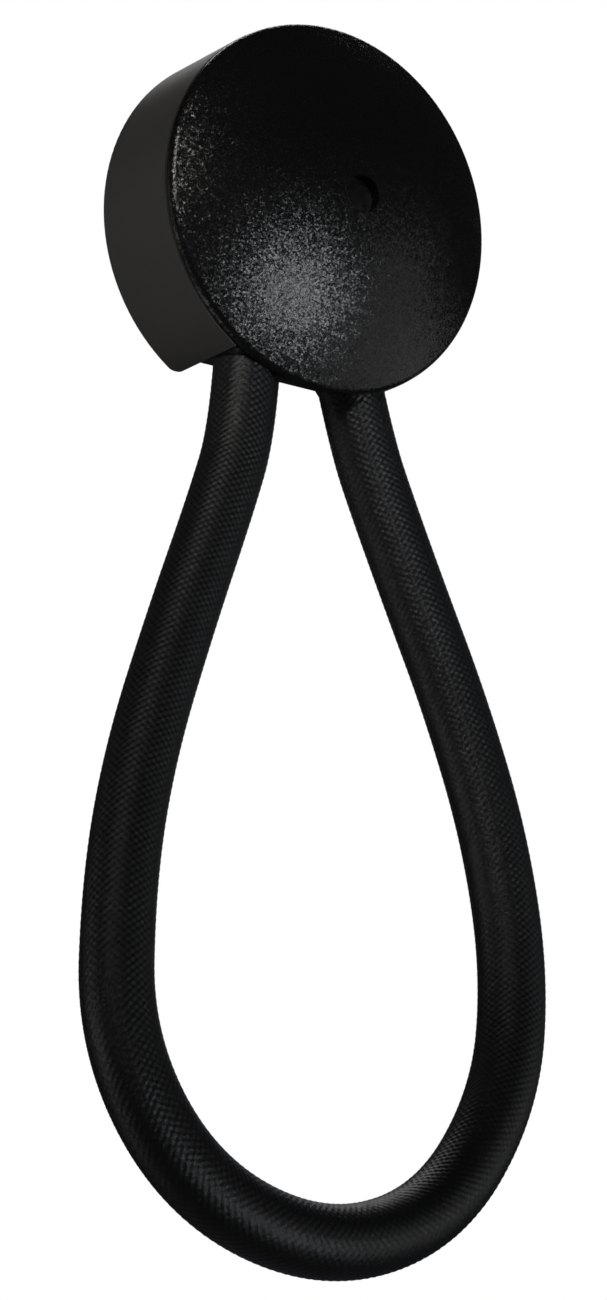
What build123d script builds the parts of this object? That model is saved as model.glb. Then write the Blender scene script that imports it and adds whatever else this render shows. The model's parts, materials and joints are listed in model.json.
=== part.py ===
from build123d import *

import os
from math import acos, asin, cos, pi, radians, sin, sqrt, tan

# A retractable leash that hangs on a wall or post: a spring reel in a domed round case, with a
# braided hand loop whose two ends are held in a yoke.  At rest the line is wound in and the yoke
# is docked in the mouth at the bottom of the case.
#
# Row frame: millimetres, +Z up, the reel's axis along Y, the dome facing -Y, and the origin on
# the reel's axis in the plane of the case's back.  Pieces of the case and the reel are drawn
# with x to the right, y up and z straight out of the wall, so their depths ("out") are distances
# from the wall, and stand_up() then turns them into the row frame.

# ---- driving dimensions -------------------------------------------------------------------
CASE_RADIUS = 35.0          # cover's lip, the case's nominal size
CASE_DEPTH = 24.0           # back plane to the foot of the dome
DOME_HEIGHT = 9.5           # dome's apex above that
DRAFT = 0.75                # how much wider the side wall is at the back
WALL = 2.2                  # thickness of the dome
SHELL_WALL = 2.55           # thickness of the side wall at the back
LIP = 1.6                   # depth of the cover's lip behind the foot of the dome
LIP_SIDE = 0.2              # straight side of the lip
LIP_ROUND = 1.8             # round between that side and the dome
SHADOW_GAP = 0.5            # groove between the lip and the side wall

SCREW_BORE = 3.5            # radius of the through hole, for an M6 fixing screw
ROPE_RADIUS = 6.0           # 12 mm braided rope
LINE_RADIUS = 1.0           # 2 mm line
LINE_LENGTH = 1200.0        # wound on the spool
RUN = 0.05                  # radial clearance of a bush on the axle
GAP = 0.3                   # clearance between faces that move past each other
HAIR = 0.1                  # clearance between parts that are only assembled
FIT = 0.2                   # radial clearance of the cover and the back plate in the side wall
PAST = 1.0                  # how far a cutting solid runs past the face it cuts

# ---- mouth and dock -----------------------------------------------------------------------
MOUTH_HALF = 17.8           # half width of the mouth in the side wall
MOUTH_ROUND = 3.0           # rounded corners where the mouth meets the back rim
BACK_ROUND = 0.8            # round on the side wall's back edge
SPIGOT_WALL = 1.6           # ring on the cover that centres it in the side wall
SPIGOT_REACH = 2.5          # how far that ring goes into the side wall
SPIGOT_MARGIN = 3.0         # how far that ring stops short of the mouth
LEDGE_WIDTH = 2.0           # ledge in the side wall that the back plate is pressed against
LEDGE_HEIGHT = 1.4
PLATE_CHORD = -27.5         # height of the back plate's straight lower edge, above the mouth
DOCK_WALL = 1.6
GUIDE_RADIUS = 2.6          # line guide's body, and its holes in the bulkhead and the bumper
GUIDE_RIM = 3.8
GUIDE_RISE = 0.5            # how far the guide's rim stands above the bulkhead
GUIDE_RUN = 0.4             # radial clearance of the line in the guide
GUIDE_FLARE = 1.5
BUMPER_HALF = 13.0
BUMPER_ROUND = 2.0
DOCK_TOP = -16.4            # upper face of the bulkhead above the dock
DOCK_FLOOR = -18.8          # its lower face
BUMPER = 1.0                # thickness of the rubber pad under it
YOKE_TOP = DOCK_FLOOR - BUMPER - GAP
YOKE_BOTTOM = -31.0
YOKE_HALF = 17.2            # half width of the yoke
YOKE_DEPTH = 12.4
ROPE_OUT = 15.8             # rope's centre plane, in front of the wall
ROPE_SIDE = 11.6            # rope's legs, each side of the middle
YOKE_ROUND = 1.6            # round on the yoke's long outer edges
YOKE_EDGE = 1.2             # round on its upright edges
YOKE_ROOF = 1.2             # wall left above the bores for the ferrules
BEAD_RADIUS = 2.2           # bead crimped on the line's end, inside the yoke
BEAD_BOTTOM, BEAD_TOP = -28.5, -24.5
FERRULE_RADIUS = 4.8        # sleeve crimped on each end of the rope
FERRULE_RIB = 5.1           # rib round the sleeve that keeps it in the yoke
FERRULE_BORE = 4.1          # the rope's crimped end
RIB_BOTTOM, RIB_TOP = -26.0, -25.0
SEAT = 0.05                 # radial clearance of the ferrules in the yoke

# ---- reel, as distances in front of the wall ----------------------------------------------
AXLE_RADIUS = 4.75
PLATE_BACK, PLATE_FRONT = 0.4, 2.8
HUB_FACE = 3.6              # hub of the back plate, where the rear washer sits
WASHER = 0.5
SPOOL_BACK = HUB_FACE + WASHER + GAP
FLANGE = 1.2
WIND_BACK = SPOOL_BACK + FLANGE
WIND_FRONT = 18.4
CUP_FLOOR = WIND_FRONT + FLANGE
CUP_FRONT = 26.6
LID = 1.0
LID_FRONT = CUP_FRONT + LID
CLIP_BACK = LID_FRONT + GAP + WASHER
CLIP_FRONT = CLIP_BACK + 0.8
SOCKET_MOUTH = 29.6         # cover's hub that centres the axle's front end
SOCKET_FLOOR = 31.0
CORE_RADIUS = 7.5
CORE_BORE = 5.9
FLANGE_RADIUS = 15.6
CUP_BORE = 14.2
ARBOR_RADIUS = 6.4
BUSH_LENGTH = 5.0
WASHER_RADIUS = 7.2
FLANGE_SEAT = 10.0          # axle's flange, let into the back plate
SEAT_DEPTH = 1.2
CLIP_RADIUS = 7.0
CLIP_GROOVE = 0.5           # depth of the circlip's groove in the axle
CLIP_OPENING = 2.2          # half the opening between the circlip's ends
STRIP = 0.35                # thickness of the spring's strip
STRIP_PITCH = 1.0
SPRING_TURNS = 7
PEG_RADIUS = 1.6            # clip that holds the line's inner end in the rear flange
PEG_HEIGHT = 10.0

# ---- fixings ------------------------------------------------------------------------------
PILLAR_RING = 27.2          # radius of the circle that the three case screws lie on
PILLAR_RADIUS = 2.8
PILLAR_ANGLES = (90, 210, 330)
CASE_SCREW = 1.2            # shank radius
CASE_HEAD = 2.4             # head radius
CASE_HEAD_DEPTH = 1.3
CASE_SCREW_END = 16.0       # how far the case screws reach, in front of the wall
PILOT_END = 18.0            # depth of their pilot holes
SCREW_HOLE = 1.5            # radius of their clearance holes
HEAD_ROOM = 2.7             # radius of the pockets for their heads
CASE_CROSS = (1.5, 0.3)     # half length and half width of the cross recess
YOKE_SCREW = 1.0
YOKE_HEAD = 1.85
YOKE_HEAD_ROOM = 1.95
YOKE_HEAD_DEPTH = 1.5
YOKE_SCREW_END = 4.0        # how far the yoke screws go past the rope's centre plane
YOKE_CROSS = (1.2, 0.25)
CROSS_DEPTH = 0.7           # depth of the recesses, from the face the screw is set in
YOKE_SCREW_AT = ((-3.9, -22.4), (3.9, -28.4))

# ---- the rope's route, row frame, from where it leaves the yoke on the left to where it goes
# ---- back into it on the right; the loop hangs with its bottom a little away from the wall
ROUTE = [
    (-11.6, -15.8, -31.0),
    (-11.8, -16.0, -44.0),
    (-15.9, -17.5, -57.9),
    (-24.1, -20.5, -81.0),
    (-32.8, -25.0, -106.0),
    (-38.1, -30.5, -128.7),
    (-40.3, -37.2, -155.2),
    (-27.8, -43.5, -177.2),
    (-4.0, -46.7, -186.7),
    (20.6, -44.7, -180.5),
    (37.7, -39.5, -160.5),
    (44.2, -32.5, -138.0),
    (42.3, -27.0, -113.0),
    (35.6, -22.0, -89.0),
    (27.0, -18.7, -68.6),
    (19.7, -16.6, -51.8),
    (15.1, -16.0, -41.6),
    (11.6, -15.8, -31.0),
]
NECK_BOTTOM = -36.6         # height of the flexing plane, where the necks meet the hand loop
BEND_SHARE = 0.45           # share of the shorter run that each rounded corner takes up


# ---- small helpers ------------------------------------------------------------------------
def disc(radius, back, front, x=0.0, up=0.0):
    """A cylinder along the reel's axis from one depth to another."""
    return Pos(x, up, (back + front) / 2) * Cylinder(radius, front - back)


def ring(outer, inner, back, front, up=0.0):
    return disc(outer, back, front, 0, up) - disc(inner, back - PAST, front + PAST, 0, up)


def block(x0, x1, up0, up1, back, front):
    middle = Pos((x0 + x1) / 2, (up0 + up1) / 2, (back + front) / 2)
    return middle * Box(x1 - x0, up1 - up0, front - back)


def post(radius, low, high, x=0.0, out=ROPE_OUT):
    """A cylinder that stands upright, from one height to another."""
    return Pos(x, (low + high) / 2, out) * Rot(90, 0, 0) * Cylinder(radius, high - low)


def turned(points_and_arcs):
    """A solid of revolution about the reel's axis; the outline is given as (radius, out)."""
    return revolve(Plane.XZ * make_face(points_and_arcs), Axis.Z, 360)


def stand_up(shape):
    """From x right, y up, z out of the wall to the row frame."""
    return Rot(90, 0, 0) * shape


def on_circle(radius, angle):
    return radius * cos(radians(angle)), radius * sin(radians(angle))


# ---- case ---------------------------------------------------------------------------------
APEX = CASE_DEPTH + DOME_HEIGHT
LIP_BACK = CASE_DEPTH - LIP
LIP_FRONT = LIP_BACK + LIP_SIDE
SHELL_FRONT = LIP_BACK - SHADOW_GAP
SHELL_BORE = CASE_RADIUS + DRAFT - SHELL_WALL

# the dome's sphere touches the lip's round, whose centre lies this far from the reel's axis
# and this far behind the apex, less one radius of the round
ROUND_CENTRE = CASE_RADIUS - LIP_ROUND
ROUND_DROP = APEX - LIP_FRONT - LIP_ROUND
DOME_RADIUS = LIP_ROUND + (ROUND_CENTRE**2 + ROUND_DROP**2) / (2 * ROUND_DROP)
DOME_CENTRE = APEX - DOME_RADIUS


def dome_out(radius_at, sphere=DOME_RADIUS):
    """Depth of a dome's surface at a distance from the reel's axis."""
    return DOME_CENTRE + sqrt(sphere**2 - radius_at**2)


def front_cover():
    inner_sphere = DOME_RADIUS - WALL
    inner_rim = sqrt(inner_sphere**2 - (LIP_BACK - DOME_CENTRE) ** 2)
    slope = asin(ROUND_CENTRE / (DOME_RADIUS - LIP_ROUND))

    def round_at(angle):
        return ROUND_CENTRE + LIP_ROUND * sin(angle), LIP_FRONT + LIP_ROUND * cos(angle)

    foot = round_at(slope)
    mid_outer, mid_inner = foot[0] / 2, inner_rim / 2
    outline = [
        Line((0, DOME_CENTRE + inner_sphere), (0, APEX)),
        ThreePointArc((0, APEX), (mid_outer, dome_out(mid_outer)), foot),
        ThreePointArc(foot, round_at((slope + pi / 2) / 2), (CASE_RADIUS, LIP_FRONT)),
        Line((CASE_RADIUS, LIP_FRONT), (CASE_RADIUS, LIP_BACK)),
        Line((CASE_RADIUS, LIP_BACK), (inner_rim, LIP_BACK)),
        ThreePointArc(
            (inner_rim, LIP_BACK),
            (mid_inner, dome_out(mid_inner, inner_sphere)),
            (0, DOME_CENTRE + inner_sphere),
        ),
    ]
    cover = turned(outline)

    # spigot that centres the cover in the side wall, left out across the mouth
    outer = SHELL_BORE - FIT
    spigot = ring(outer, outer - SPIGOT_WALL, SHELL_FRONT - SPIGOT_REACH, LIP_BACK + PAST)
    gap_half = MOUTH_HALF + SPIGOT_MARGIN
    cover += spigot - block(-gap_half, gap_half, -CASE_RADIUS, 0, 0, LIP_BACK)

    inside = disc(CASE_RADIUS, 0, APEX)
    inside &= Pos(0, 0, DOME_CENTRE) * Sphere(DOME_RADIUS - WALL / 2)
    for angle in PILLAR_ANGLES:
        x, up = on_circle(PILLAR_RING, angle)
        cover += disc(PILLAR_RADIUS, PLATE_FRONT, APEX, x, up) & inside
        cover -= disc(CASE_SCREW + RUN, PLATE_FRONT - PAST, PILOT_END, x, up)

    # hub that holds the axle's front end, and the hole at the apex
    cover += disc(CORE_RADIUS, SOCKET_MOUTH, APEX) & inside
    cover -= disc(AXLE_RADIUS + RUN, SOCKET_MOUTH - PAST, SOCKET_FLOOR)
    cover -= disc(SCREW_BORE, SOCKET_FLOOR - PAST, APEX + PAST)
    return cover


def case_shell():
    back_radius = CASE_RADIUS + DRAFT
    front_radius = CASE_RADIUS + HAIR
    half = BACK_ROUND * (1 - sqrt(0.5))
    outline = [
        Line((SHELL_BORE, 0), (back_radius - BACK_ROUND, 0)),
        ThreePointArc(
            (back_radius - BACK_ROUND, 0),
            (back_radius - half, half),
            (back_radius, BACK_ROUND),
        ),
        Line((back_radius, BACK_ROUND), (front_radius, SHELL_FRONT)),
        Line((front_radius, SHELL_FRONT), (SHELL_BORE, SHELL_FRONT)),
        Line((SHELL_BORE, SHELL_FRONT), (SHELL_BORE, 0)),
    ]
    shell = turned(outline)
    root = SHELL_BORE + WALL / 4
    shell += ring(root, SHELL_BORE - LEDGE_WIDTH, PLATE_FRONT, PLATE_FRONT + LEDGE_HEIGHT)
    low = -back_radius - PAST
    shell -= block(-MOUTH_HALF, MOUTH_HALF, low, 0, -PAST, CASE_DEPTH)
    for side in (-1, 1):
        middle = side * (MOUTH_HALF + MOUTH_ROUND)
        x0, x1 = sorted((side * MOUTH_HALF, middle))
        corner = block(x0, x1, low, -CASE_RADIUS / 2, -PAST, MOUTH_ROUND)
        shell -= corner - post(MOUTH_ROUND, low - PAST, 0, middle, MOUTH_ROUND)

    # dock: two side walls and the bulkhead above it, which carries the line guide
    back, front = PLATE_FRONT + FIT, SHELL_FRONT - FIT
    wide = MOUTH_HALF + DOCK_WALL
    reach = disc(root, back, front)
    for side in (-1, 1):
        x0, x1 = sorted((side * MOUTH_HALF, side * wide))
        shell += block(x0, x1, -CASE_RADIUS, DOCK_TOP, back, front) & reach
    shell += block(-wide, wide, DOCK_FLOOR, DOCK_TOP, back, front)
    shell -= post(GUIDE_RADIUS, DOCK_FLOOR - PAST, DOCK_TOP + PAST)
    return shell


def back_plate():
    plate = disc(SHELL_BORE - FIT, PLATE_BACK, PLATE_FRONT)
    plate -= block(-CASE_RADIUS, CASE_RADIUS, -CASE_RADIUS, PLATE_CHORD, 0, PLATE_FRONT + PAST)
    plate += disc(CORE_RADIUS, PLATE_FRONT, HUB_FACE)
    plate -= disc(AXLE_RADIUS + HAIR, 0, HUB_FACE + PAST)
    plate -= disc(FLANGE_SEAT + FIT, 0, PLATE_BACK + SEAT_DEPTH)
    for angle in PILLAR_ANGLES:
        x, up = on_circle(PILLAR_RING, angle)
        plate -= disc(SCREW_HOLE, 0, PLATE_FRONT + PAST, x, up)
        plate -= disc(HEAD_ROOM, 0, PLATE_BACK + CASE_HEAD_DEPTH, x, up)
    return plate


def cross_recess(arms, back, front, x, up):
    """The solid that cuts a cross recess of this half length and half width."""
    long, thin = arms
    upright = block(x - thin, x + thin, up - long, up + long, back, front)
    return upright + block(x - long, x + long, up - thin, up + thin, back, front)


def case_screws():
    screws = []
    head_front = PLATE_BACK + CASE_HEAD_DEPTH
    for angle in PILLAR_ANGLES:
        x, up = on_circle(PILLAR_RING, angle)
        screw = disc(CASE_HEAD, PLATE_BACK, head_front, x, up)
        screw += disc(CASE_SCREW, head_front, CASE_SCREW_END, x, up)
        screws.append(screw - cross_recess(CASE_CROSS, 0, PLATE_BACK + CROSS_DEPTH, x, up))
    return screws


# ---- axle and what sits on it -------------------------------------------------------------
def hollow_axle():
    axle = disc(AXLE_RADIUS, 0, SOCKET_FLOOR - HAIR)
    axle += disc(FLANGE_SEAT, 0, PLATE_BACK + SEAT_DEPTH)
    axle -= disc(SCREW_BORE, -PAST, APEX)
    groove = ring(AXLE_RADIUS + PAST, AXLE_RADIUS - CLIP_GROOVE, CLIP_BACK, CLIP_FRONT)
    return axle - groove


def axle_circlip():
    clip = ring(CLIP_RADIUS, AXLE_RADIUS - CLIP_GROOVE, CLIP_BACK, CLIP_FRONT)
    low = -CLIP_RADIUS - PAST
    return clip - block(-CLIP_OPENING, CLIP_OPENING, low, 0, CLIP_BACK - PAST, CLIP_FRONT + PAST)


def thrust_washer(back):
    return ring(WASHER_RADIUS, AXLE_RADIUS + HAIR, back, back + WASHER)


def spring_arbor():
    """The spring's fixed hub, with a slot that its strip hooks into."""
    inset, slot_depth = 0.4, 0.9
    arbor = ring(ARBOR_RADIUS, AXLE_RADIUS, CUP_FLOOR + inset, CUP_FRONT - inset)
    low, high = ARBOR_RADIUS - slot_depth, ARBOR_RADIUS + PAST
    return arbor - block(-STRIP_PITCH / 2, STRIP_PITCH / 2, low, high, CUP_FLOOR, CUP_FRONT)


def power_spring():
    """A spiral strip as half rings whose centres alternate, each half a pitch larger."""
    innermost = ARBOR_RADIUS + GAP + STRIP / 2
    inset = 0.7
    back, front = CUP_FLOOR + inset, CUP_FRONT - inset
    far = 2 * CUP_BORE
    spring = None
    for half in range(2 * SPRING_TURNS):
        radius = innermost + half * STRIP_PITCH / 2
        centre = 0.0 if half % 2 == 0 else STRIP_PITCH / 2
        band = Pos(centre, 0, 0) * ring(radius + STRIP / 2, radius - STRIP / 2, back, front)
        low, high = (0, far) if half % 2 == 0 else (-far, 0)
        band &= block(-far, far, low, high, back, front)
        spring = band if spring is None else spring + band
    return spring


# ---- reel ---------------------------------------------------------------------------------
def spool_drum():
    drum = disc(CORE_RADIUS, SPOOL_BACK, WIND_FRONT)
    drum += disc(FLANGE_RADIUS, SPOOL_BACK, WIND_BACK)
    drum -= disc(CORE_BORE, SPOOL_BACK - PAST, WIND_FRONT + PAST)
    return drum - disc(PEG_RADIUS, SPOOL_BACK - PAST, WIND_BACK + PAST, 0, PEG_HEIGHT)


def spring_cup():
    cup = disc(FLANGE_RADIUS, WIND_FRONT, CUP_FRONT)
    cup -= disc(CUP_BORE, CUP_FLOOR, CUP_FRONT + PAST)
    return cup - disc(AXLE_RADIUS + GAP, WIND_FRONT - PAST, CUP_FLOOR + PAST)


def spring_lid():
    return ring(FLANGE_RADIUS, AXLE_RADIUS + GAP, CUP_FRONT, LID_FRONT)


def bush(back):
    return ring(CORE_BORE, AXLE_RADIUS + RUN, back, back + BUSH_LENGTH)


def wound_radius():
    """Outer radius of the winding, whose turns lie square, one line diameter apart."""
    width = WIND_FRONT - WIND_BACK
    return sqrt(CORE_RADIUS**2 + LINE_LENGTH * (2 * LINE_RADIUS) ** 2 / (pi * width))


def wound_line():
    """The winding as a plain ring."""
    return ring(wound_radius(), CORE_RADIUS, WIND_BACK, WIND_FRONT)


def line_clip():
    return disc(PEG_RADIUS, SPOOL_BACK, WIND_BACK, 0, PEG_HEIGHT)


# ---- line from the winding to the yoke ----------------------------------------------------
GUIDE_TOP = DOCK_TOP + GUIDE_RISE


def line_lead():
    """From the winding's edge, across to the guide and down through it."""
    orbit = wound_radius() + LINE_RADIUS + GAP
    corner, bend = GUIDE_TOP, 1.4
    angle = acos(orbit / -corner)
    start = (orbit * sin(angle), -orbit * cos(angle))
    path = FilletPolyline(start, (0, corner), (0, DOCK_FLOOR - HAIR), radius=bend)
    path = Pos(0, 0, ROPE_OUT) * path
    section = Plane(origin=path @ 0, z_dir=path % 0) * Circle(LINE_RADIUS)
    return sweep(section, path)


def line_guide():
    """An eyelet whose bore flares at the top, where the line turns into it."""
    bore = LINE_RADIUS + GUIDE_RUN
    guide = post(GUIDE_RADIUS, DOCK_FLOOR, DOCK_TOP) + post(GUIDE_RIM, DOCK_TOP, GUIDE_TOP)
    guide -= post(bore, DOCK_FLOOR - PAST, GUIDE_TOP + PAST)
    mouth = Rot(-90, 0, 0) * Cone(bore, bore + GUIDE_FLARE, GUIDE_FLARE)
    return guide - Pos(0, GUIDE_TOP - GUIDE_FLARE / 2, ROPE_OUT) * mouth


def dock_bumper():
    half = YOKE_DEPTH / 2 - 2 * YOKE_EDGE / 3
    back, front = ROPE_OUT - half, ROPE_OUT + half
    pad = block(-BUMPER_HALF, BUMPER_HALF, DOCK_FLOOR - BUMPER, DOCK_FLOOR, back, front)
    pad = fillet(pad.edges().filter_by(Axis.Y), BUMPER_ROUND)
    return pad - post(GUIDE_RADIUS, DOCK_FLOOR - BUMPER - PAST, DOCK_FLOOR + PAST)


def line_run():
    return post(LINE_RADIUS, BEAD_TOP, DOCK_FLOOR - HAIR)


# ---- yoke ---------------------------------------------------------------------------------
FERRULE_TOP = YOKE_TOP - YOKE_ROOF - FIT


def line_bead():
    return post(BEAD_RADIUS, BEAD_BOTTOM, BEAD_TOP)


def yoke_block():
    """The whole yoke, before it is split through the rope's centre plane."""
    half = YOKE_DEPTH / 2
    yoke = block(-YOKE_HALF, YOKE_HALF, YOKE_BOTTOM, YOKE_TOP, ROPE_OUT - half, ROPE_OUT + half)
    yoke = fillet(yoke.edges().filter_by(Axis.Y), YOKE_ROUND)
    yoke = fillet(yoke.edges().filter_by(Axis.Z), YOKE_EDGE)
    for side in (-ROPE_SIDE, ROPE_SIDE):
        yoke -= post(FERRULE_RADIUS + SEAT, YOKE_BOTTOM - PAST, YOKE_TOP - YOKE_ROOF, side)
        yoke -= post(FERRULE_RIB + SEAT, RIB_BOTTOM - HAIR, RIB_TOP + HAIR, side)
    yoke -= post(LINE_RADIUS + FIT, BEAD_TOP - PAST, YOKE_TOP + PAST)
    yoke -= post(BEAD_RADIUS + FIT, BEAD_BOTTOM - FIT, BEAD_TOP + HAIR)
    back, pilot_end = ROPE_OUT - half, ROPE_OUT + YOKE_SCREW_END + GAP
    for x, up in YOKE_SCREW_AT:
        yoke -= disc(YOKE_SCREW + RUN, back - PAST, pilot_end, x, up)
        yoke -= disc(YOKE_HEAD_ROOM, back - PAST, back + YOKE_HEAD_DEPTH, x, up)
    return yoke


def yoke_half(front):
    span = (ROPE_OUT, ROPE_OUT + YOKE_DEPTH) if front else (ROPE_OUT - YOKE_DEPTH, ROPE_OUT)
    return yoke_block() & block(-CASE_RADIUS, CASE_RADIUS, -CASE_RADIUS, 0, *span)


def yoke_screws():
    screws = []
    back = ROPE_OUT - YOKE_DEPTH / 2
    for x, up in YOKE_SCREW_AT:
        screw = disc(YOKE_HEAD, back + HAIR, back + YOKE_HEAD_DEPTH, x, up)
        screw += disc(YOKE_SCREW, back + YOKE_HEAD_DEPTH, ROPE_OUT + YOKE_SCREW_END, x, up)
        screws.append(screw - cross_recess(YOKE_CROSS, back, back + CROSS_DEPTH, x, up))
    return screws


def ferrule(side):
    sleeve = post(FERRULE_RADIUS, YOKE_BOTTOM, FERRULE_TOP, side)
    sleeve += post(FERRULE_RIB, RIB_BOTTOM, RIB_TOP, side)
    return sleeve - post(FERRULE_BORE, YOKE_BOTTOM - PAST, YOKE_TOP, side)


def rope_end(side):
    return post(FERRULE_BORE, YOKE_BOTTOM, FERRULE_TOP, side)


# ---- rope, already in the row frame -------------------------------------------------------
def corner_radii(points):
    """Each corner's radius: a share of its shorter run over the tangent of half its turn."""
    radii = []
    for before, here, after in zip(points, points[1:], points[2:]):
        into, out = Vector(here) - Vector(before), Vector(after) - Vector(here)
        turn = radians(into.get_angle(out))
        radii.append(BEND_SHARE * min(into.length, out.length) / tan(turn / 2))
    return radii


def neck_split(start, following):
    """The point on the rope's first run that lies at the flexing plane's height."""
    run = Vector(following) - Vector(start)
    return Vector(start) + run * ((NECK_BOTTOM - start[2]) / run.Z)


def rope_neck(start, following):
    """From the yoke's lower face to the flexing plane, square to the rope at that end."""
    end = neck_split(start, following)
    away = (Vector(following) - Vector(start)).normalized()
    length = (end - Vector(start)).length + ROPE_RADIUS / 2
    tube = Plane(origin=end - away * (length / 2), z_dir=away) * Cylinder(ROPE_RADIUS, length)
    return tube - Pos(0, 0, YOKE_BOTTOM + length) * Box(CASE_RADIUS * 2, CASE_RADIUS * 2, 2 * length)


def hand_loop():
    radii = corner_radii(ROUTE)
    ends = neck_split(ROUTE[0], ROUTE[1]), neck_split(ROUTE[-1], ROUTE[-2])
    path = FilletPolyline(ends[0], *ROUTE[1:-1], ends[1], radius=radii)
    section = Plane(origin=path @ 0, z_dir=path % 0) * Circle(ROPE_RADIUS)
    loop = sweep(section, path)
    print("rope corner radii:", " ".join(f"{r:.0f}" for r in radii))
    necks = sum((end - Vector(at)).length for end, at in zip(ends, (ROUTE[0], ROUTE[-1])))
    whole = path.length + necks
    ratio = loop.volume / (pi * ROPE_RADIUS**2 * path.length)
    print(f"rope: {whole:.0f} mm from yoke to yoke, volume over section x length {ratio:.4f}")
    return loop


# ---- assembly -----------------------------------------------------------------------------
def pieces():
    """Every node's name and its solid or solids, in the row frame."""
    drawn_flat = {
        "front_cover": front_cover(),
        "case_shell": case_shell(),
        "back_plate": back_plate(),
        "case_screws": case_screws(),
        "hollow_axle": hollow_axle(),
        "axle_circlip": axle_circlip(),
        "thrust_washer_rear": thrust_washer(HUB_FACE),
        "thrust_washer_front": thrust_washer(CLIP_BACK - WASHER),
        "spring_arbor": spring_arbor(),
        "power_spring": power_spring(),
        "spool_drum": spool_drum(),
        "spring_cup": spring_cup(),
        "spring_lid": spring_lid(),
        "bush_rear": bush(SPOOL_BACK),
        "bush_front": bush(WIND_FRONT - BUSH_LENGTH),
        "wound_line": wound_line(),
        "line_clip": line_clip(),
        "line_lead": line_lead(),
        "line_guide": line_guide(),
        "dock_bumper": dock_bumper(),
        "line_run": line_run(),
        "line_bead": line_bead(),
        "yoke_front": yoke_half(True),
        "yoke_rear": yoke_half(False),
        "yoke_screws": yoke_screws(),
        "ferrule_left": ferrule(-ROPE_SIDE),
        "ferrule_right": ferrule(ROPE_SIDE),
        "rope_end_left": rope_end(-ROPE_SIDE),
        "rope_end_right": rope_end(ROPE_SIDE),
    }
    standing = {}
    for name, shape in drawn_flat.items():
        solids = shape if isinstance(shape, list) else [shape]
        standing[name] = [stand_up(solid) for solid in solids]
    standing["rope_neck_left"] = [rope_neck(ROUTE[0], ROUTE[1])]
    standing["rope_neck_right"] = [rope_neck(ROUTE[-1], ROUTE[-2])]
    standing["hand_loop"] = [hand_loop()]
    return standing


def main():
    os.makedirs("parts", exist_ok=True)
    for name, solids in pieces().items():
        group = solids[0] if len(solids) == 1 else Compound(children=solids)
        group.label = name
        export_step(group, f"parts/{name}.step")
    print("dome sphere radius", round(DOME_RADIUS, 2), "apex", APEX)


main()
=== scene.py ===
"""The retractable leash's looks: the braided rope loop, the line and the finish of every part."""

import json
import math

import bpy
import numpy as np
from mathutils import Matrix, Vector


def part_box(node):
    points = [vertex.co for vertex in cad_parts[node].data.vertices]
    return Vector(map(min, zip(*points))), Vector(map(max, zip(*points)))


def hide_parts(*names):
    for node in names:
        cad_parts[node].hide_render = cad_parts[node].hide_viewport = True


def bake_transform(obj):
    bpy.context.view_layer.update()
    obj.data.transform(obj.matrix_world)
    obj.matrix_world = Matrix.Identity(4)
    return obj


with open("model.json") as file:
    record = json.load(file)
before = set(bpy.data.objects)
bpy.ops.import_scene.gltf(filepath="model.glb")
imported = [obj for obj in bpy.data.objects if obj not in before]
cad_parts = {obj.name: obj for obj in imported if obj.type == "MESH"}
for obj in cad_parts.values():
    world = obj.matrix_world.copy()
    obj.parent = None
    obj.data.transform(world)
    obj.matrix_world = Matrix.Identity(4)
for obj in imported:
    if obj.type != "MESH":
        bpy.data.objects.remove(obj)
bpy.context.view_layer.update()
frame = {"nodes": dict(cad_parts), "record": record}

MM = 0.001

# Camera: where it looks, from which side, and how far away
AIM = Vector((0.0074, -0.0117, -0.0809))
AZIMUTH = math.radians(-32.93)
ELEVATION = math.radians(-10.08)
ROLL = math.radians(3.67)
DISTANCE = 0.4418
SENSOR_SIDE = 36.0  # the sensor's long side, in the camera's own millimetres
LENS = 66.07
NEAREST = 0.01  # the camera shows nothing closer than this

# Rope: the route's points, the same ones as in the CAD model, and the braid
ROPE_ROUTE = [
    (-0.0116, -0.0158, -0.0310),
    (-0.0118, -0.0160, -0.0440),
    (-0.0159, -0.0175, -0.0579),
    (-0.0241, -0.0205, -0.0810),
    (-0.0328, -0.0250, -0.1060),
    (-0.0381, -0.0305, -0.1287),
    (-0.0403, -0.0372, -0.1552),
    (-0.0278, -0.0435, -0.1772),
    (-0.0040, -0.0467, -0.1867),
    (0.0206, -0.0447, -0.1805),
    (0.0377, -0.0395, -0.1605),
    (0.0442, -0.0325, -0.1380),
    (0.0423, -0.0270, -0.1130),
    (0.0356, -0.0220, -0.0890),
    (0.0270, -0.0187, -0.0686),
    (0.0197, -0.0166, -0.0518),
    (0.0151, -0.0160, -0.0416),
    (0.0116, -0.0158, -0.0310),
]
ROPE_DIAMETER = 12 * MM
ROPE_TAIL = ROPE_DIAMETER / 3  # how far the rope's mesh is drawn past each end, before it is cut level
ROUTE_STEPS = 76  # points per control point on the rope's line
AROUND = 192  # points around the rope
STRANDS = 24  # strands in each of the braid's two directions
LAY = 31.2 * MM  # length in which a strand goes once around
STRAND_HALF = 0.5  # half a strand's width, as a share of the strands' spacing
STRAND_HEIGHT = 0.19 * MM  # how far a strand's middle stands above its edges
CROSSING_LIFT = 0.08 * MM  # how far a strand rises and dips as it crosses the others
BRAID_MAP = "braid"  # the rope's own UV map, in strands around and along it
BRAID_TOP = 6.2 * MM  # radius of the picks' crowns

# Line: the stretch between the case and the yoke
LINE_RINGS = 240  # rings along the line
LINE_AROUND = 24  # points around it

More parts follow.
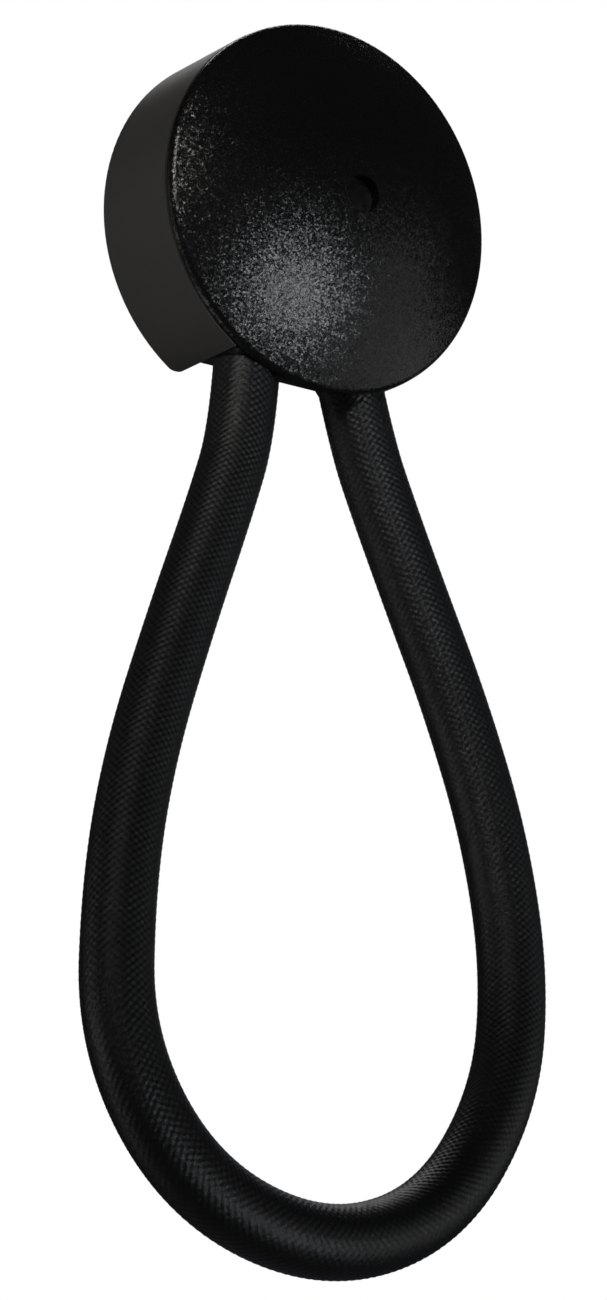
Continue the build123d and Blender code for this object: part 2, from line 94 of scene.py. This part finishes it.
# Studio
FLOOR_Z = -1.3  # lower than the loop can be drawn
FLOOR_RADIUS = 5.0
FLOOR_SIDES = 96
FLOOR_TONE = 0.86  # how bright the floor looks to the camera
SURROUND_TONE = 1.0  # how bright the surround looks to the camera
AMBIENT = 0.015  # how much light the surround gives
CASE_MIDDLE = (0, -0.015, 0)  # this and the next are points that lights are aimed at
LEFT_LEG = (-0.030, -0.020, -0.120)
COOL = (0.93, 0.96, 1.0)
NEUTRAL = (1, 1, 1)
WARM = (1.0, 0.97, 0.93)


# Helpers


def mesh_piece(name, vertices, faces, smooth=True):
    """A new mesh object made of these vertices and faces, in the row frame."""
    mesh = bpy.data.meshes.new(name)
    mesh.from_pydata(vertices, [], faces)
    mesh.polygons.foreach_set("use_smooth", [smooth] * len(mesh.polygons))
    piece = bpy.data.objects.new(name, mesh)
    bpy.context.scene.collection.objects.link(piece)
    return piece


def tube_faces(rings, around):
    """The quads of a tube of rings, with an end face at each end."""
    row, column = np.meshgrid(np.arange(rings - 1), np.arange(around), indexing="ij")
    start = row * around + column
    right = row * around + (column + 1) % around
    quads = np.stack([start, right, right + around, start + around], -1).reshape(-1, 4)
    last = (rings - 1) * around
    ends = [list(range(around - 1, -1, -1)), list(range(last, last + around))]
    return quads.tolist() + ends


def spline_points(name, controls, steps):
    """The points of the smooth NURBS line that these control points shape."""
    curve = bpy.data.curves.new(name, "CURVE")
    curve.dimensions = "3D"
    spline = curve.splines.new("NURBS")
    spline.points.add(len(controls) - 1)
    for point, place in zip(spline.points, controls):
        point.co = (*place, 1)
    spline.order_u = 3
    spline.use_endpoint_u = True
    spline.resolution_u = steps
    holder = bpy.data.objects.new(name, curve)
    bpy.context.scene.collection.objects.link(holder)
    bpy.context.view_layer.update()
    mesh = bpy.data.meshes.new_from_object(holder)
    points = np.array([vertex.co for vertex in mesh.vertices], float)
    bpy.data.objects.remove(holder)
    bpy.data.curves.remove(curve)
    bpy.data.meshes.remove(mesh)
    return points


def line_frames(points):
    """The tangent and two steady side directions at each point of a line."""
    tangents = np.gradient(points, axis=0)
    tangents /= np.linalg.norm(tangents, axis=1)[:, None]
    sides = np.empty_like(points)
    side = np.cross(tangents[0], (0, 1, 0))
    for i, tangent in enumerate(tangents):
        side = side - tangent * side.dot(tangent)
        side /= np.linalg.norm(side)
        sides[i] = side
    return tangents, sides, np.cross(tangents, sides)


def braid_height(a, b):
    """How high the braid stands at strand coordinates a and b, one for each direction."""
    near_a, near_b = np.round(a), np.round(b)

    def crown(offset):
        return STRAND_HEIGHT * np.sqrt(np.clip(1 - (offset / STRAND_HALF) ** 2, 0, 1))

    over_a = CROSSING_LIFT * np.cos(math.pi * (b + near_a)) + crown(a - near_a)
    over_b = -CROSSING_LIFT * np.cos(math.pi * (a + near_b)) + crown(b - near_b)
    return np.maximum(over_a, over_b)


# Materials

FACETS_PER_METRE = 3000  # cells of the cover's texture
GRAIN_PER_METRE = 2600  # grains of the same texture
FACET_TILT = 0.24  # how far a facet leans over
LINE_PICK = 0.9 * MM  # length of a pick of the thin line's braid
LINE_TURN = 2 * MM  # width of a turn of the wound line
FILAMENTS = 9  # across one strand of the rope
UNIT = (0, 1)  # the range of a mix's factor
NOISE_RANGE = (0.3, 0.7)  # where nearly all of a noise's values lie


class Nodes:
    """A new material with one Principled shader, and short ways to add nodes to it."""

    def __init__(self, name, colour, roughness, metallic=0.0):
        self.material = bpy.data.materials.new(name)
        self.material.use_nodes = True
        self.tree = self.material.node_tree
        self.shader = self.tree.nodes["Principled BSDF"]
        self.shader.inputs["Base Color"].default_value = (*colour, 1)
        self.shader.inputs["Roughness"].default_value = roughness
        self.shader.inputs["Metallic"].default_value = metallic
        self.material.diffuse_color = (*colour, 1)

    def add(self, kind, **settings):
        node = self.tree.nodes.new(kind)
        for key, value in settings.items():
            setattr(node, key, value)
        return node

    def link(self, source, target):
        self.tree.links.new(source, target)

    def put(self, target, value):
        if isinstance(value, bpy.types.NodeSocket):
            self.link(value, target)
        else:
            target.default_value = value

    def place(self):
        return self.add("ShaderNodeTexCoord").outputs["Object"]

    def noise(self, scale, detail=4.0, roughness=0.55, vector=None):
        node = self.add("ShaderNodeTexNoise")
        self.link(vector or self.place(), node.inputs["Vector"])
        node.inputs["Scale"].default_value = scale
        node.inputs["Detail"].default_value = detail
        node.inputs["Roughness"].default_value = roughness
        return node.outputs["Fac"]

    def cells(self, scale, output="Distance"):
        node = self.add("ShaderNodeTexVoronoi")
        self.link(self.place(), node.inputs["Vector"])
        node.inputs["Scale"].default_value = scale
        return node.outputs[output]

    def stretched(self, factors):
        """Object coordinates, drawn out along an axis by a factor below 1."""
        node = self.add("ShaderNodeVectorMath", operation="MULTIPLY")
        self.link(self.place(), node.inputs[0])
        node.inputs[1].default_value = factors
        return node.outputs[0]

    def around_axis(self):
        """Coordinates that change only with the distance from the reel's axis and along it."""
        split = self.add("ShaderNodeSeparateXYZ")
        self.link(self.place(), split.inputs[0])
        x, y, z = split.outputs
        radius = self.maths("SQRT", self.maths("ADD", self.maths("POWER", x, 2.0),
                                               self.maths("POWER", z, 2.0)))
        join = self.add("ShaderNodeCombineXYZ")
        self.link(radius, join.inputs[0])
        self.link(y, join.inputs[1])
        return join.outputs[0]

    def waves(self, axis, per_metre):
        """A smooth wave from 0 to 1 along one axis of the object."""
        split = self.add("ShaderNodeSeparateXYZ")
        self.link(self.place(), split.inputs[0])
        phase = self.maths("MULTIPLY", split.outputs[axis], 2 * math.pi * per_metre)
        return self.spread(self.maths("SINE", phase), (-1, 1), UNIT)

    def braid_coordinates(self):
        """The rope's strand counts: once around it, and along it."""
        map_node = self.add("ShaderNodeUVMap", uv_map=BRAID_MAP)
        split = self.add("ShaderNodeSeparateXYZ")
        self.link(map_node.outputs[0], split.inputs[0])
        return split.outputs[0], split.outputs[1]

    def braid_side(self, first, second):
        """Above zero where the first direction's strand lies over the second's."""
        phase = self.maths("ADD", second, self.maths("ROUND", first))
        return self.maths("COSINE", self.maths("MULTIPLY", phase, math.pi))

    def filaments(self, along, across):
        """Fine threads that run along the strands of one direction."""
        join = self.add("ShaderNodeCombineXYZ")
        self.link(self.maths("MULTIPLY", across, FILAMENTS), join.inputs[0])
        self.link(along, join.inputs[1])
        return self.noise(scale=1.0, detail=2.0, roughness=0.6, vector=join.outputs[0])

    def mix_values(self, factor, a, b):
        node = self.add("ShaderNodeMix", data_type="FLOAT")
        for socket, value in zip(node.inputs[:1] + node.inputs[2:4], (factor, a, b)):
            self.put(socket, value)
        return node.outputs[0]

    def maths(self, operation, a, b=0.0):
        node = self.add("ShaderNodeMath", operation=operation)
        for socket, value in zip(node.inputs, (a, b)):
            self.put(socket, value)
        return node.outputs[0]

    def spread(self, value, source, to):
        """The value, moved from one range to another."""
        node = self.add("ShaderNodeMapRange")
        self.link(value, node.inputs["Value"])
        for key, number in zip(("From Min", "From Max", "To Min", "To Max"), (*source, *to)):
            node.inputs[key].default_value = number
        return node.outputs["Result"]

    def mix(self, factor, colour_a, colour_b):
        node = self.add("ShaderNodeMix", data_type="RGBA")
        self.link(factor, node.inputs["Factor"])
        for socket, colour in zip(node.inputs[6:8], (colour_a, colour_b)):
            socket.default_value = (*colour, 1)
        return node.outputs[2]

    def bump(self, height, distance, normal=None):
        node = self.add("ShaderNodeBump")
        self.link(height, node.inputs["Height"])
        node.inputs["Distance"].default_value = distance
        if normal is not None:
            self.link(normal, node.inputs["Normal"])
        return node.outputs["Normal"]

    def tilted(self, random_colour, amount, normal):
        """The normal, leaning over by a random colour."""
        centred = self.add("ShaderNodeVectorMath", operation="SUBTRACT")
        self.link(random_colour, centred.inputs[0])
        centred.inputs[1].default_value = (0.5, 0.5, 0.5)
        lean = self.add("ShaderNodeVectorMath", operation="SCALE")
        self.link(centred.outputs[0], lean.inputs[0])
        lean.inputs["Scale"].default_value = amount
        total = self.add("ShaderNodeVectorMath", operation="ADD")
        self.link(lean.outputs[0], total.inputs[0])
        self.link(normal, total.inputs[1])
        unit = self.add("ShaderNodeVectorMath", operation="NORMALIZE")
        self.link(total.outputs[0], unit.inputs[0])
        return unit.outputs[0]

    def finish(self, colour=None, roughness=None, normal=None):
        for key, value in (("Base Color", colour), ("Roughness", roughness), ("Normal", normal)):
            if value is not None:
                self.link(value, self.shader.inputs[key])
        return self.material


def cover_plastic():
    """Black moulded plastic with a coarse spark-eroded texture, whose facets sparkle."""
    m = Nodes("cover_plastic", (0.0045, 0.0045, 0.0046), roughness=0.24)
    grain = m.noise(GRAIN_PER_METRE, detail=3.0, roughness=0.7)
    facets = m.cells(FACETS_PER_METRE, "Color")
    normal = m.tilted(facets, FACET_TILT, m.bump(grain, 0.05 * MM))
    cloud = m.noise(scale=60, detail=2.0)
    colour = m.mix(cloud, (0.0035, 0.0035, 0.0036), (0.0055, 0.0055, 0.0056))
    return m.finish(colour, m.spread(grain, (0.35, 0.65), to=(0.19, 0.29)), normal)


def satin_plastic(name, colour):
    """Dark moulded plastic with a fine satin grain and faint flow marks."""
    m = Nodes(name, colour, roughness=0.5)
    flow = m.noise(scale=45, detail=3.0)
    lighter = tuple(1.25 * value for value in colour)
    grain = m.noise(scale=4200, detail=2.0)
    rough = m.spread(flow, NOISE_RANGE, to=(0.46, 0.56))
    return m.finish(m.mix(flow, colour, lighter), rough, m.bump(grain, 0.02 * MM))


def filled_nylon():
    """Black glass-filled nylon: short pale fibres show faintly in a satin skin."""
    m = Nodes("filled_nylon", (0.014, 0.014, 0.015), roughness=0.45)
    fibres = m.noise(scale=1600, detail=4.0, roughness=0.65, vector=m.stretched((1, 1, 0.15)))
    streaks = m.spread(fibres, (0.58, 0.72), to=UNIT)
    colour = m.mix(streaks, (0.013, 0.013, 0.014), (0.032, 0.032, 0.034))
    grain = m.noise(scale=3600, detail=2.0)
    return m.finish(colour, m.spread(streaks, UNIT, to=(0.48, 0.36)), m.bump(grain, 0.03 * MM))


def natural_nylon():
    """Unfilled nylon: milky, slightly yellow, with a soft shine and light marks of the mould."""
    m = Nodes("natural_nylon", (0.62, 0.60, 0.54), roughness=0.38)
    m.shader.inputs["Subsurface Weight"].default_value = 0.15
    m.shader.inputs["Subsurface Radius"].default_value = (1.0, 0.9, 0.7)
    m.shader.inputs["Subsurface Scale"].default_value = 1.5 * MM
    cloud = m.noise(scale=90, detail=3.0)
    grain = m.noise(scale=2600, detail=2.0)
    colour = m.mix(cloud, (0.60, 0.58, 0.51), (0.68, 0.66, 0.60))
    return m.finish(colour, m.spread(cloud, NOISE_RANGE, to=(0.33, 0.44)), m.bump(grain, 0.02 * MM))


def soft_rubber():
    """Matt black rubber with a dusty bloom in its hollows."""
    m = Nodes("soft_rubber", (0.014, 0.014, 0.014), roughness=0.75)
    bloom = m.noise(scale=260, detail=5.0, roughness=0.7)
    grain = m.noise(scale=1900, detail=4.0, roughness=0.7)
    dust = m.spread(bloom, (0.45, 0.75), to=UNIT)
    colour = m.mix(dust, (0.012, 0.012, 0.012), (0.035, 0.034, 0.033))
    return m.finish(colour, m.spread(bloom, NOISE_RANGE, to=(0.68, 0.85)), m.bump(grain, 0.06 * MM))


def turned_metal(name, colour, roughness):
    """Metal turned on a lathe: fine rings round the reel's axis and a few wear marks."""
    m = Nodes(name, colour, roughness, metallic=1.0)
    rings = m.noise(scale=9000, detail=2.0, roughness=0.6, vector=m.around_axis())
    wear = m.noise(scale=240, detail=5.0, roughness=0.6)
    darker = tuple(0.72 * value for value in colour)
    shade = m.mix(m.spread(wear, (0.35, 0.7), to=UNIT), colour, darker)
    rough = m.spread(wear, NOISE_RANGE, to=(roughness - 0.06, roughness + 0.1))
    return m.finish(shade, rough, m.bump(rings, 0.012 * MM))


def zinc_plate():
    """Zinc plating: a crystalline, faintly blue and yellow shimmer with dull spots."""
    m = Nodes("zinc_plate", (0.60, 0.61, 0.62), roughness=0.32, metallic=1.0)
    crystals = m.cells(scale=2200)
    tint = m.noise(scale=420, detail=3.0)
    colour = m.mix(tint, (0.56, 0.59, 0.64), (0.66, 0.63, 0.55))
    rough = m.spread(crystals, (0, 0.8), to=(0.24, 0.42))
    return m.finish(colour, rough, m.bump(crystals, 0.008 * MM))


def blued_steel():
    """Spring steel with its dark blue temper colour and fine lines along the strip."""
    m = Nodes("blued_steel", (0.10, 0.12, 0.18), roughness=0.3, metallic=1.0)
    temper = m.noise(scale=130, detail=4.0)
    lines = m.noise(scale=5200, detail=2.0, roughness=0.6, vector=m.stretched((0.08, 1, 0.08)))
    colour = m.mix(m.spread(temper, NOISE_RANGE, to=UNIT), (0.07, 0.09, 0.17), (0.17, 0.15, 0.16))
    return m.finish(colour, m.spread(lines, NOISE_RANGE, to=(0.24, 0.38)), m.bump(lines, 0.01 * MM))


def sintered_bronze():
    """Porous bronze, oil-soaked: small dark pores in a dull brown metal."""
    m = Nodes("sintered_bronze", (0.42, 0.26, 0.12), roughness=0.45, metallic=1.0)
    solid = m.spread(m.cells(scale=2600), (0.0, 0.28), to=UNIT)
    colour = m.mix(solid, (0.10, 0.06, 0.03), (0.44, 0.28, 0.13))
    return m.finish(colour, m.spread(solid, UNIT, to=(0.75, 0.42)), m.bump(solid, 0.03 * MM))


def crimped_aluminium():
    """Aluminium drawn into a sleeve: scratches along its length and small dents of the tool."""
    m = Nodes("crimped_aluminium", (0.62, 0.62, 0.63), roughness=0.38, metallic=1.0)
    scratches = m.noise(scale=4200, detail=3.0, roughness=0.65, vector=m.stretched((1, 1, 0.05)))
    dents = m.noise(scale=500, detail=2.0)
    normal = m.bump(scratches, 0.01 * MM, normal=m.bump(dents, 0.12 * MM))
    colour = m.mix(scratches, (0.55, 0.55, 0.56), (0.68, 0.68, 0.69))
    return m.finish(colour, m.spread(scratches, (0.35, 0.65), to=(0.30, 0.46)), normal)


def line_finish(name, axis, pitch):
    """Black braided line or rope: it swells once a pitch along the given axis of the object, and its
    colour is darker in the dips between the swells as painted shade.
    """
    m = Nodes(name, (0.016, 0.016, 0.018), roughness=0.55)
    m.shader.inputs["Sheen Weight"].default_value = 0.15
    m.shader.inputs["Sheen Roughness"].default_value = 0.4
    picks_and_painted_shade = m.waves(axis, 1 / pitch)
    fibres = m.noise(scale=7000, detail=2.0)
    height = m.maths("ADD", picks_and_painted_shade, m.maths("MULTIPLY", fibres, 0.3))
    # painted shade: the colour darkens in the dips between the picks and lightens on their crowns
    colour = m.mix(picks_and_painted_shade, (0.007, 0.007, 0.008), (0.024, 0.024, 0.027))
    return m.finish(colour, m.spread(picks_and_painted_shade, UNIT, to=(0.7, 0.48)), m.bump(height, 0.12 * MM))


def braided_polyester():
    """Black polyester yarn: fine filaments run along each strand of the braid."""
    m = Nodes("braided_polyester", (0.006, 0.0062, 0.0068), roughness=0.32)
    m.shader.inputs["Specular IOR Level"].default_value = 0.4
    m.shader.inputs["Sheen Weight"].default_value = 0.10
    m.shader.inputs["Sheen Roughness"].default_value = 0.4
    m.shader.inputs["Sheen Tint"].default_value = (0.75, 0.8, 1.0, 1)
    around, along = m.braid_coordinates()
    first, second = m.maths("SUBTRACT", around, along), m.maths("ADD", around, along)
    over = m.spread(m.braid_side(first, second), (-0.3, 0.3), to=UNIT)
    filaments = m.mix_values(over, m.filaments(first, second), m.filaments(second, first))
    fuzz = m.noise(scale=5200, detail=3.0, roughness=0.7)
    height = m.maths("ADD", filaments, m.maths("MULTIPLY", fuzz, 0.8))
    colour = m.mix(filaments, (0.0045, 0.0047, 0.0052), (0.010, 0.0103, 0.0112))
    return m.finish(colour, m.spread(filaments, UNIT, to=(0.42, 0.26)), m.bump(height, 0.05 * MM))


# Pieces


def rope_piece():
    """The whole rope, from the yoke round the loop and back, with every pick of its braid."""
    route = spline_points("rope_route", ROPE_ROUTE, ROUTE_STEPS)
    tangents, _, _ = line_frames(route)
    start, end = route[0] - ROPE_TAIL * tangents[0], route[-1] + ROPE_TAIL * tangents[-1]
    points = np.concatenate([[start], route, [end]])
    _, side, other = line_frames(points)
    steps = np.linalg.norm(np.diff(points, axis=0), axis=1)
    along = np.concatenate([[0], np.cumsum(steps)])
    angle = np.arange(AROUND) * 2 * math.pi / AROUND
    turns = STRANDS * angle[None, :] / (2 * math.pi)
    rise = STRANDS * along[:, None] / LAY
    height = braid_height(turns - rise, turns + rise)
    radius = BRAID_TOP - STRAND_HEIGHT - CROSSING_LIFT + height
    across, out = np.cos(angle)[None, :, None], np.sin(angle)[None, :, None]
    ring = across * side[:, None] + out * other[:, None]
    vertices = points[:, None] + radius[..., None] * ring
    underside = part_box("yoke_front")[0].z
    vertices[..., 2] = np.minimum(vertices[..., 2], underside)
    faces = tube_faces(len(points), AROUND)
    rope = mesh_piece("braided_rope", vertices.reshape(-1, 3).tolist(), faces)
    lay_out(rope.data, along)
    rope.data.materials.append(braided_polyester())
    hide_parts("hand_loop", "rope_neck_left", "rope_neck_right")
    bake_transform(rope)


def lay_out(mesh, along):
    """A UV map that counts the braid's strands around the rope and along it.

    The last wall of each ring closes it, so that wall's far corners count on to a full turn.
    """
    corners = np.empty(len(mesh.loops), int)
    mesh.loops.foreach_get("vertex_index", corners)
    ring, column = corners // AROUND, corners % AROUND
    walls = column[:4 * (len(along) - 1) * AROUND].reshape(-1, 4)
    walls[AROUND - 1::AROUND, 1:3] = AROUND
    around = column * STRANDS / AROUND
    layout = mesh.uv_layers.new(name=BRAID_MAP)
    layout.data.foreach_set("uv", np.stack([around, STRANDS * along[ring] / LAY], -1).ravel())


def line_piece():
    """The line between the case and the yoke, in short rings so that it can be drawn out."""
    low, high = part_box("line_run")
    centre = (low + high) / 2
    radius = (high.x - low.x) / 2
    heights = np.linspace(high.z, low.z, LINE_RINGS)
    angle = np.arange(LINE_AROUND) * 2 * math.pi / LINE_AROUND
    x = centre.x + radius * np.cos(angle)
    y = centre.y - radius * np.sin(angle)
    vertices = [(x[i], y[i], z) for z in heights for i in range(LINE_AROUND)]
    line = mesh_piece("drawn_line", vertices, tube_faces(LINE_RINGS, LINE_AROUND))
    line.data.materials.append(line_finish("drawn_line", 2, LINE_PICK))
    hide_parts("line_run")
    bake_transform(line)


# Scene


def dress_frame():
    """A finish for every CAD part, by its material slot."""
    finishes = {
        "cover": cover_plastic(),
        "shell": satin_plastic("shell_plastic", (0.064, 0.062, 0.059)),
        "back_plate": satin_plastic("back_plastic", (0.024, 0.024, 0.024)),
        "rope": line_finish("crimped_rope", 2, LAY / STRANDS),
        "line": line_finish("wound_line", 1, LINE_TURN),
        "yoke": filled_nylon(),
        "nylon": natural_nylon(),
        "bumper": soft_rubber(),
        "steel": turned_metal("turned_steel", (0.55, 0.55, 0.56), 0.3),
        "zinc_steel": zinc_plate(),
        "spring_steel": blued_steel(),
        "bronze": sintered_bronze(),
        "brass": turned_metal("turned_brass", (0.72, 0.52, 0.22), 0.28),
        "aluminium": crimped_aluminium(),
    }
    for part in frame["record"]["subparts"]:
        node = frame["nodes"][part["node"]]
        node.data.materials.clear()
        node.data.materials.append(finishes[part["material_slot"]])


def camera_axes():
    """The camera's right, up and backward directions."""
    level_reach = math.cos(ELEVATION)
    back = Vector((math.sin(AZIMUTH) * level_reach, -math.cos(AZIMUTH) * level_reach, math.sin(ELEVATION)))
    level = Vector((0, 0, 1)).cross(back).normalized()
    upright = back.cross(level)
    right = level * math.cos(ROLL) + upright * math.sin(ROLL)
    return right, back.cross(right), back


def photo_camera():
    """The camera, at the photograph's angle."""
    data = bpy.data.cameras.new("camera")
    data.sensor_width = SENSOR_SIDE
    data.lens = LENS
    data.clip_start = NEAREST
    camera = bpy.data.objects.new("camera", data)
    right, up, back = camera_axes()
    turn = Matrix((right, up, back)).transposed().to_4x4()
    camera.matrix_world = Matrix.Translation(AIM + back * DISTANCE) @ turn
    bpy.context.scene.collection.objects.link(camera)
    bpy.context.scene.camera = camera


def softbox(name, aim, direction, distance, size, power, colour=NEUTRAL, spread=180):
    """A rectangular area light that shines on a point from a direction."""
    data = bpy.data.lights.new(name, "AREA")
    data.shape = "RECTANGLE"
    data.size, data.size_y = size
    data.energy = power
    data.color = colour
    data.spread = math.radians(spread)
    lamp = bpy.data.objects.new(name, data)
    way = Vector(direction).normalized()
    lamp.location = Vector(aim) + way * distance
    lamp.rotation_euler = way.to_track_quat("Z", "Y").to_euler()
    bpy.context.scene.collection.objects.link(lamp)


def pale(tree, shader, tone_kind, strength):
    """What a surface is to the lights, and a plain pale tone to the camera."""
    tone = tree.nodes.new(tone_kind)
    tone.inputs["Strength"].default_value = strength
    tone.inputs["Color"].default_value = (1, 1, 1, 1)
    path = tree.nodes.new("ShaderNodeLightPath")
    mix = tree.nodes.new("ShaderNodeMixShader")
    tree.links.new(path.outputs["Is Camera Ray"], mix.inputs[0])
    tree.links.new(shader.outputs[0], mix.inputs[1])
    tree.links.new(tone.outputs[0], mix.inputs[2])
    return mix.outputs[0]


def surround():
    """A white surround that gives only a little light."""
    world = bpy.data.worlds.new("surround")
    world.use_nodes = True
    tree = world.node_tree
    ambient = tree.nodes["Background"]
    ambient.inputs["Color"].default_value = (1, 1, 1, 1)
    ambient.inputs["Strength"].default_value = AMBIENT
    shown = pale(tree, ambient, "ShaderNodeBackground", SURROUND_TONE)
    tree.links.new(shown, tree.nodes["World Output"].inputs["Surface"])
    bpy.context.scene.world = world


def pale_floor():
    """A plain pale floor, far enough below for the loop to be drawn right out."""
    angles = np.arange(FLOOR_SIDES) * 2 * math.pi / FLOOR_SIDES
    rim = [(FLOOR_RADIUS * math.cos(angle), FLOOR_RADIUS * math.sin(angle), FLOOR_Z)
           for angle in angles]
    floor = mesh_piece("floor", rim, [list(range(FLOOR_SIDES))], smooth=False)
    m = Nodes("pale_floor", (0.8, 0.8, 0.8), roughness=0.9)
    shown = pale(m.tree, m.shader, "ShaderNodeEmission", FLOOR_TONE)
    m.link(shown, m.tree.nodes["Material Output"].inputs["Surface"])
    floor.data.materials.append(m.material)


def studio():
    """A pale floor, a white surround and soft lights."""
    surround()
    pale_floor()
    bpy.context.scene.view_settings.view_transform = "Standard"
    softbox("key", CASE_MIDDLE, (0.20, -0.94, -0.25), distance=0.8, size=(0.28, 0.40), power=0.105,
            colour=COOL, spread=22)
    softbox("upper_right", AIM, (0.74, -0.58, 0.12), distance=0.8, size=(0.14, 0.30), power=0.14)
    softbox("lower_right", AIM, (0.72, -0.58, -0.40), distance=0.9, size=(0.20, 0.40), power=0.23)
    softbox("right", AIM, (0.95, -0.30, -0.15), distance=0.8, size=(0.20, 0.30), power=0.18)
    softbox("left", CASE_MIDDLE, (-0.75, -0.57, 0.33), distance=0.8, size=(0.16, 0.20), power=0.040,
            colour=WARM, spread=20)
    softbox("left_of_leg", LEFT_LEG, (-0.92, 0.39, -0.10), distance=0.5, size=(0.08, 0.20), power=0.006,
            colour=WARM, spread=20)
    softbox("behind_left", AIM, (-0.80, 0.55, 0.25), distance=0.8, size=(0.30, 0.30), power=0.08,
            colour=WARM)
    softbox("behind", AIM, (0.35, 0.60, 0.70), distance=0.9, size=(0.50, 0.50), power=1.5)
    softbox("behind_right", AIM, (0.75, 0.62, 0.25), distance=0.9, size=(0.50, 0.50), power=0.08)
    softbox("under_left", CASE_MIDDLE, (-0.60, 0.40, -0.70), distance=0.6, size=(0.20, 0.20), power=0.008,
            spread=30)


rope_piece()
line_piece()
dress_frame()
photo_camera()
studio()

bpy.context.view_layer.update()
